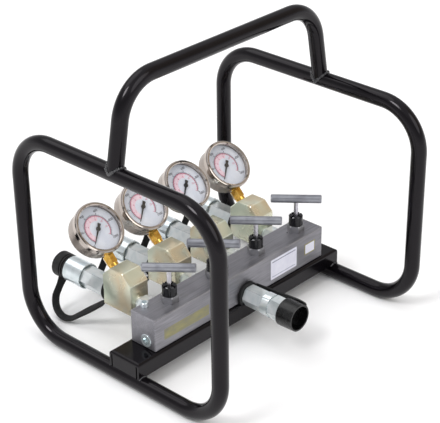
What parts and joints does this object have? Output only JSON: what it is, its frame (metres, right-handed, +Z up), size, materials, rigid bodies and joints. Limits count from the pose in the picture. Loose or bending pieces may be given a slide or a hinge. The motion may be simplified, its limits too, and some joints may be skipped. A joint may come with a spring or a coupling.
{
  "type": "hydraulic manifold",
  "caption": "Hydraulic flow-splitting manifold block with needle valves, pressure gauges and capped screw couplers, carried in a bent-tube cage with a top handle.",
  "frame": {"origin": "on the floor, under the centre of the whole object's bounding box", "axes": "+Z up; X along the manifold block, +X towards the valve end furthest from the gallery plug; +Y towards the outlets; -Y towards the inlet"},
  "size_m": [0.381, 0.361, 0.395],
  "materials": {
    "cage_paint": "satin black paint",
    "block_finish": "matt grey coating",
    "zinc_plate": "bright zinc plate, slightly blue",
    "chromate_plate": "olive-beige passivated zinc plate",
    "brass": "bare turned brass",
    "bright_steel": "bare turned steel",
    "stainless": "polished stainless steel",
    "black_steel": "black oxide steel",
    "ptfe": "white packing",
    "gauge_window": "clear window",
    "dial_face": "matt white with plain numbers",
    "pointer_black": "matt black",
    "rubber": "matt black rubber"
  },
  "bodies": {
    "manifold": {"cage_loop_left": "cage_paint", "cage_loop_right": "cage_paint", "carry_handle": "cage_paint", "base_rail": "cage_paint", "manifold_block": "block_finish", "gallery_plug": "zinc_plate", "vent_screw": "zinc_plate", "rail_bolts": "zinc_plate", "valve_bonnets": "block_finish", "stem_packings": "ptfe", "gland_nuts": "black_steel", "port_nipples": "zinc_plate", "gauge_sockets": "brass", "gauge_cases": "stainless", "gauge_bezels": "stainless", "gauge_windows": "gauge_window", "gauge_dials": "dial_face", "gauge_movements": "brass", "bourdon_tubes": "brass", "outlet_couplers": "zinc_plate", "inlet_coupler": "zinc_plate", "sleeve_circlips": "bright_steel", "dust_cap_straps": "rubber", "gauge_block_1": "chromate_plate", "gauge_block_2": "chromate_plate", "gauge_block_3": "chromate_plate", "gauge_block_4": "chromate_plate"},
    "needle_1": {"valve_needle_1": "bright_steel"},
    "stem_1": {"valve_stem_1": "bright_steel", "tee_bar_1": "bright_steel"},
    "pointer_1": {"pointer_1": "pointer_black"},
    "sleeve_1": {"coupler_sleeve_1": "zinc_plate"},
    "cap_1": {"dust_cap_1": "rubber"},
    "poppet_1": {"poppet_1": "bright_steel"},
    "needle_2": {"valve_needle_2": "bright_steel"},
    "stem_2": {"valve_stem_2": "bright_steel", "tee_bar_2": "bright_steel"},
    "pointer_2": {"pointer_2": "pointer_black"},
    "sleeve_2": {"coupler_sleeve_2": "zinc_plate"},
    "cap_2": {"dust_cap_2": "rubber"},
    "poppet_2": {"poppet_2": "bright_steel"},
    "needle_3": {"valve_needle_3": "bright_steel"},
    "stem_3": {"valve_stem_3": "bright_steel", "tee_bar_3": "bright_steel"},
    "pointer_3": {"pointer_3": "pointer_black"},
    "sleeve_3": {"coupler_sleeve_3": "zinc_plate"},
    "cap_3": {"dust_cap_3": "rubber"},
    "poppet_3": {"poppet_3": "bright_steel"},
    "needle_4": {"valve_needle_4": "bright_steel"},
    "stem_4": {"valve_stem_4": "bright_steel", "tee_bar_4": "bright_steel"},
    "pointer_4": {"pointer_4": "pointer_black"},
    "sleeve_4": {"coupler_sleeve_4": "zinc_plate"},
    "cap_4": {"dust_cap_4": "rubber"},
    "poppet_4": {"poppet_4": "bright_steel"},
    "inlet_sleeve": {"inlet_sleeve": "zinc_plate"},
    "inlet_cap": {"inlet_dust_cap": "rubber"},
    "inlet_poppet": {"inlet_poppet": "bright_steel"}
  },
  "joints": [
    {"name": "needle_lift_1", "type": "slide", "parent": "manifold", "child": "needle_1", "axis": [0, 0, 1], "range_m": [0, 0.00626]},
    {"name": "tee_turn_1", "type": "hinge", "parent": "needle_1", "child": "stem_1", "pos_m": [-0.107, -0.019, 0.13], "axis": [0, 0, 1], "range_deg": [0, 1800]},
    {"name": "pointer_swing_1", "type": "hinge", "parent": "manifold", "child": "pointer_1", "pos_m": [-0.107, 0.10493, 0.13628], "axis": [0, -0.7071, 0.7071], "range_deg": [-270, 0], "stiffness_Nm_per_rad": 0.005, "springref_deg": 11.46},
    {"name": "sleeve_turn_1", "type": "hinge", "parent": "manifold", "child": "sleeve_1", "pos_m": [-0.107, 0.144, 0.059], "axis": [0, 1, 0], "continuous": true},
    {"name": "cap_pull_1", "type": "slide", "parent": "manifold", "child": "cap_1", "axis": [0, 1, 0], "range_m": [0, 0.03], "deforming": ["dust_cap_straps"]},
    {"name": "poppet_push_1", "type": "slide", "parent": "manifold", "child": "poppet_1", "axis": [0, -1, 0], "range_m": [0, 0.004], "stiffness_N_per_m": 1000, "springref_m": -0.003},
    {"name": "needle_lift_2", "type": "slide", "parent": "manifold", "child": "needle_2", "axis": [0, 0, 1], "range_m": [0, 0.00626]},
    {"name": "tee_turn_2", "type": "hinge", "parent": "needle_2", "child": "stem_2", "pos_m": [-0.0284, -0.019, 0.13], "axis": [0, 0, 1], "range_deg": [0, 1800]},
    {"name": "pointer_swing_2", "type": "hinge", "parent": "manifold", "child": "pointer_2", "pos_m": [-0.0284, 0.10493, 0.13628], "axis": [0, -0.7071, 0.7071], "range_deg": [-270, 0], "stiffness_Nm_per_rad": 0.005, "springref_deg": 11.46},
    {"name": "sleeve_turn_2", "type": "hinge", "parent": "manifold", "child": "sleeve_2", "pos_m": [-0.0284, 0.144, 0.059], "axis": [0, 1, 0], "continuous": true},
    {"name": "cap_pull_2", "type": "slide", "parent": "manifold", "child": "cap_2", "axis": [0, 1, 0], "range_m": [0, 0.03], "deforming": ["dust_cap_straps"]},
    {"name": "poppet_push_2", "type": "slide", "parent": "manifold", "child": "poppet_2", "axis": [0, -1, 0], "range_m": [0, 0.004], "stiffness_N_per_m": 1000, "springref_m": -0.003},
    {"name": "needle_lift_3", "type": "slide", "parent": "manifold", "child": "needle_3", "axis": [0, 0, 1], "range_m": [0, 0.00626]},
    {"name": "tee_turn_3", "type": "hinge", "parent": "needle_3", "child": "stem_3", "pos_m": [0.0502, -0.019, 0.13], "axis": [0, 0, 1], "range_deg": [0, 1800]},
    {"name": "pointer_swing_3", "type": "hinge", "parent": "manifold", "child": "pointer_3", "pos_m": [0.0502, 0.10493, 0.13628], "axis": [0, -0.7071, 0.7071], "range_deg": [-270, 0], "stiffness_Nm_per_rad": 0.005, "springref_deg": 11.46},
    {"name": "sleeve_turn_3", "type": "hinge", "parent": "manifold", "child": "sleeve_3", "pos_m": [0.0502, 0.144, 0.059], "axis": [0, 1, 0], "continuous": true},
    {"name": "cap_pull_3", "type": "slide", "parent": "manifold", "child": "cap_3", "axis": [0, 1, 0], "range_m": [0, 0.03], "deforming": ["dust_cap_straps"]},
    {"name": "poppet_push_3", "type": "slide", "parent": "manifold", "child": "poppet_3", "axis": [0, -1, 0], "range_m": [0, 0.004], "stiffness_N_per_m": 1000, "springref_m": -0.003},
    {"name": "needle_lift_4", "type": "slide", "parent": "manifold", "child": "needle_4", "axis": [0, 0, 1], "range_m": [0, 0.00626]},
    {"name": "tee_turn_4", "type": "hinge", "parent": "needle_4", "child": "stem_4", "pos_m": [0.1288, -0.019, 0.13], "axis": [0, 0, 1], "range_deg": [0, 1800]},
    {"name": "pointer_swing_4", "type": "hinge", "parent": "manifold", "child": "pointer_4", "pos_m": [0.1288, 0.10493, 0.13628], "axis": [0, -0.7071, 0.7071], "range_deg": [-270, 0], "stiffness_Nm_per_rad": 0.005, "springref_deg": 11.46},
    {"name": "sleeve_turn_4", "type": "hinge", "parent": "manifold", "child": "sleeve_4", "pos_m": [0.1288, 0.144, 0.059], "axis": [0, 1, 0], "continuous": true},
    {"name": "cap_pull_4", "type": "slide", "parent": "manifold", "child": "cap_4", "axis": [0, 1, 0], "range_m": [0, 0.03], "deforming": ["dust_cap_straps"]},
    {"name": "poppet_push_4", "type": "slide", "parent": "manifold", "child": "poppet_4", "axis": [0, -1, 0], "range_m": [0, 0.004], "stiffness_N_per_m": 1000, "springref_m": -0.003},
    {"name": "inlet_sleeve_turn", "type": "hinge", "parent": "manifold", "child": "inlet_sleeve", "pos_m": [0.009, -0.0875, 0.049], "axis": [0, -1, 0], "continuous": true},
    {"name": "inlet_cap_pull", "type": "slide", "parent": "manifold", "child": "inlet_cap", "axis": [0, -1, 0], "range_m": [0, 0.03], "deforming": ["dust_cap_straps"]},
    {"name": "inlet_poppet_push", "type": "slide", "parent": "manifold", "child": "inlet_poppet", "axis": [0, 1, 0], "range_m": [0, 0.004], "stiffness_N_per_m": 1000, "springref_m": -0.003}
  ],
  "couplings": [
    {"joint": "needle_lift_1", "follows": "tee_turn_1", "m_per_rad": 0.00019894},
    {"joint": "needle_lift_2", "follows": "tee_turn_2", "m_per_rad": 0.00019894},
    {"joint": "needle_lift_3", "follows": "tee_turn_3", "m_per_rad": 0.00019894},
    {"joint": "needle_lift_4", "follows": "tee_turn_4", "m_per_rad": 0.00019894}
  ]
}
